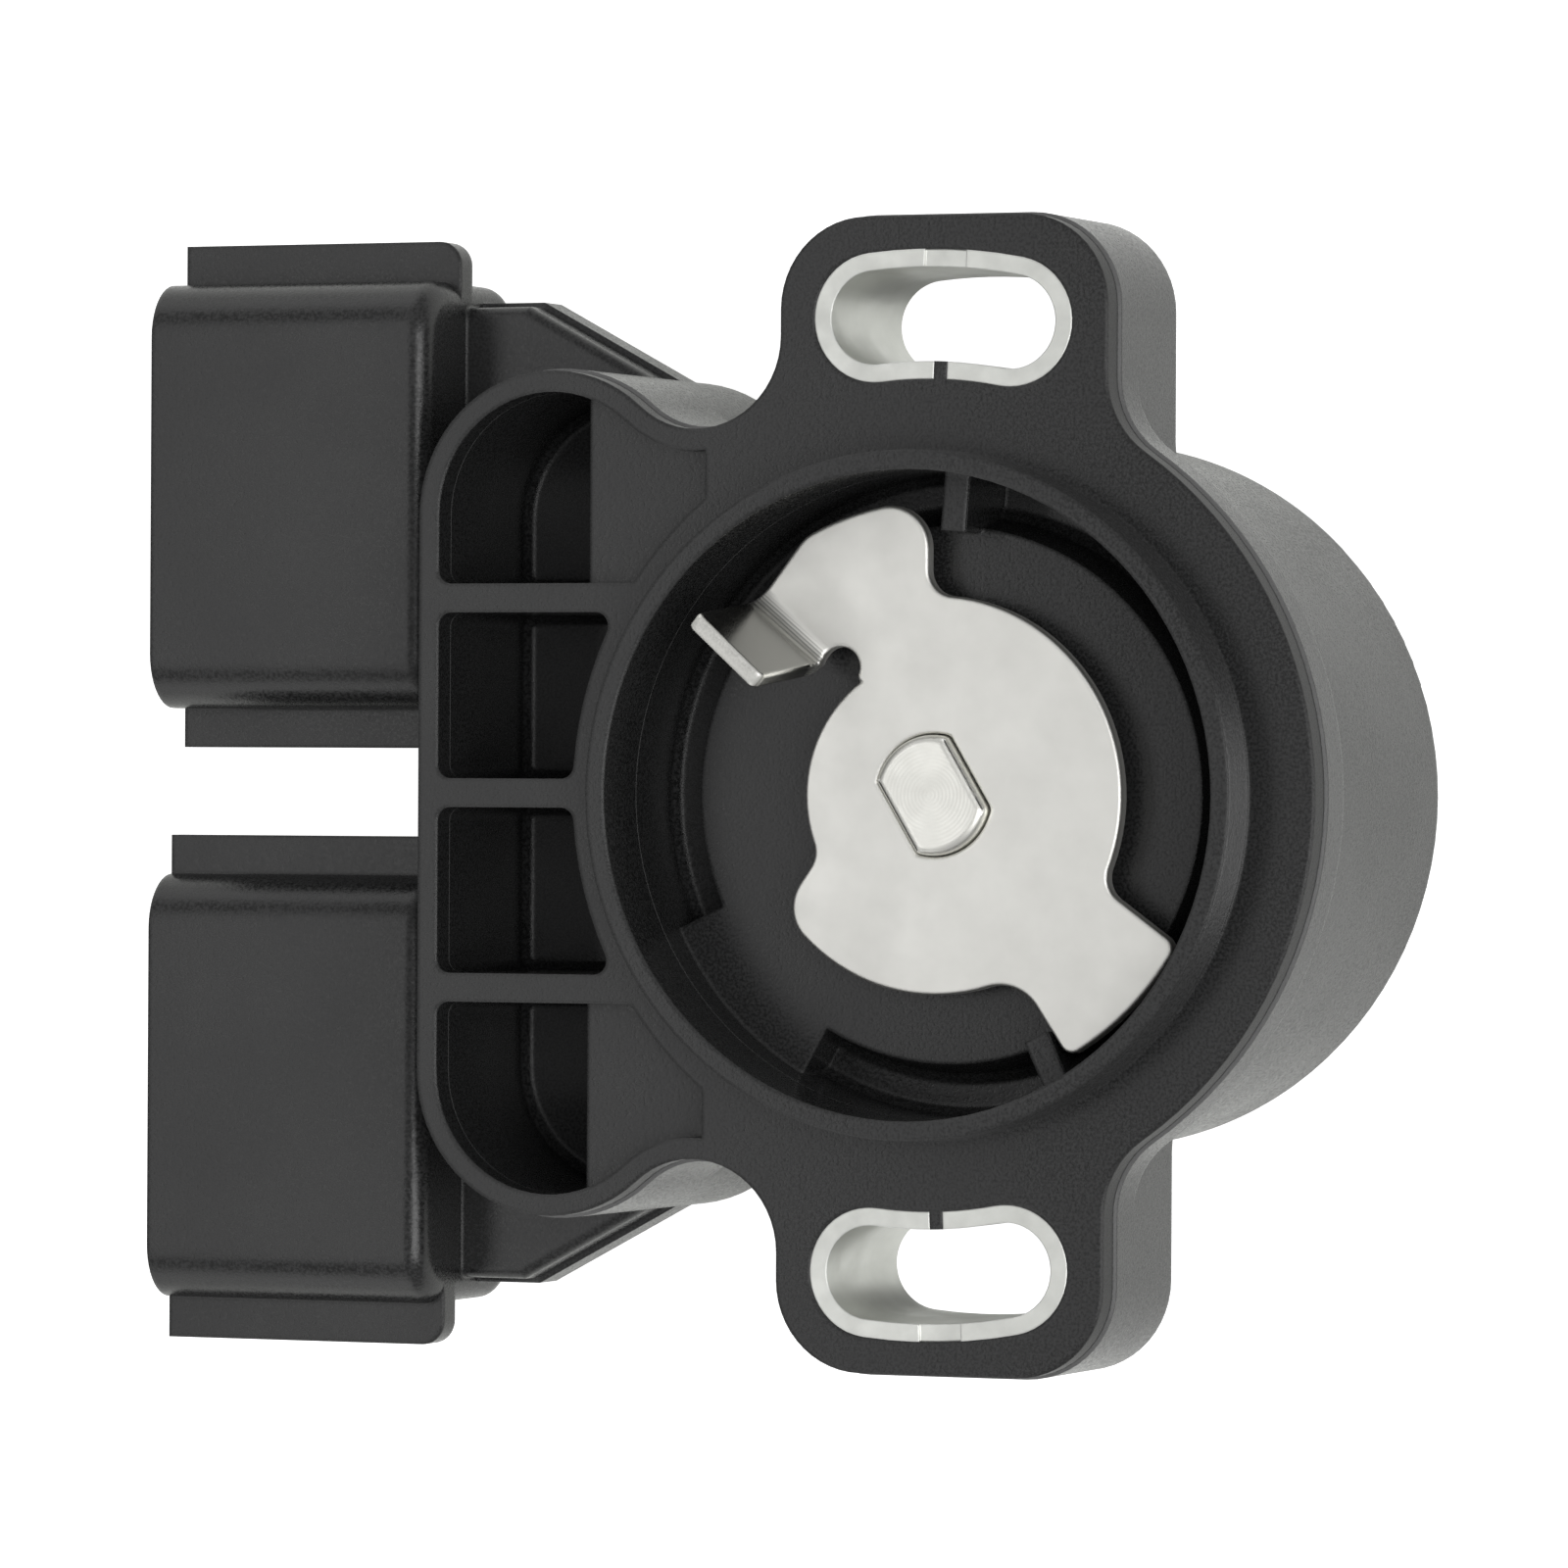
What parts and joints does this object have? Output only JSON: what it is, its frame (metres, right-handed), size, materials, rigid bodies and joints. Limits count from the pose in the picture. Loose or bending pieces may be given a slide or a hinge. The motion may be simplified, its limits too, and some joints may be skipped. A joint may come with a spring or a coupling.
{
  "type": "throttle position sensor",
  "caption": "Throttle position sensor: black moulded housing with a locating lip, slotted steel-lined lugs, plug sockets and a sprung stamped drive lever in an open bore.",
  "frame": {"origin": "on the shaft axis, in the plane of the mounting face at the foot of the locating lip", "axes": "+Z along the shaft out of the mounting face, +X away from the plug sockets, the lugs lie along +Y and -Y"},
  "size_m": [0.0754, 0.0654, 0.0354],
  "materials": {
    "housing_plastic": "fine moulded black",
    "cover_plastic": "fine moulded black",
    "rotor_plastic": "moulded natural",
    "washer_nylon": "moulded natural",
    "card_board": "bare board",
    "lever_steel": "satin plated",
    "shaft_steel": "ground",
    "sleeve_steel": "zinc plated",
    "spring_steel": "rolled strip",
    "bush_bronze": "sintered",
    "wiper_bronze": "spring bronze",
    "terminal_tin": "tinned brass",
    "seal_rubber": "moulded rubber"
  },
  "bodies": {
    "housing": {"housing": "housing_plastic", "upper_slot_sleeve": "sleeve_steel", "lower_slot_sleeve": "sleeve_steel", "upper_terminal_1": "terminal_tin", "upper_terminal_2": "terminal_tin", "upper_terminal_3": "terminal_tin", "lower_terminal_1": "terminal_tin", "lower_terminal_2": "terminal_tin", "lower_terminal_3": "terminal_tin", "shaft_seal": "seal_rubber", "shaft_bush": "bush_bronze", "return_spring": "spring_steel", "track_card": "card_board", "cover_seal": "seal_rubber", "rear_cover": "cover_plastic"},
    "lever": {"lever_plate": "lever_steel", "rotor_shaft": "shaft_steel", "thrust_washer": "washer_nylon", "retaining_clip": "spring_steel", "rotor": "rotor_plastic", "track_wiper": "wiper_bronze", "switch_wiper": "wiper_bronze"}
  },
  "joints": [
    {"name": "lever_turn", "type": "hinge", "parent": "housing", "child": "lever", "pos_m": [0, 0, 0], "axis": [0, 0, 1], "range_deg": [0, 110], "stiffness_Nm_per_rad": 0.012, "springref_deg": -30.02, "deforming": ["return_spring"]}
  ]
}
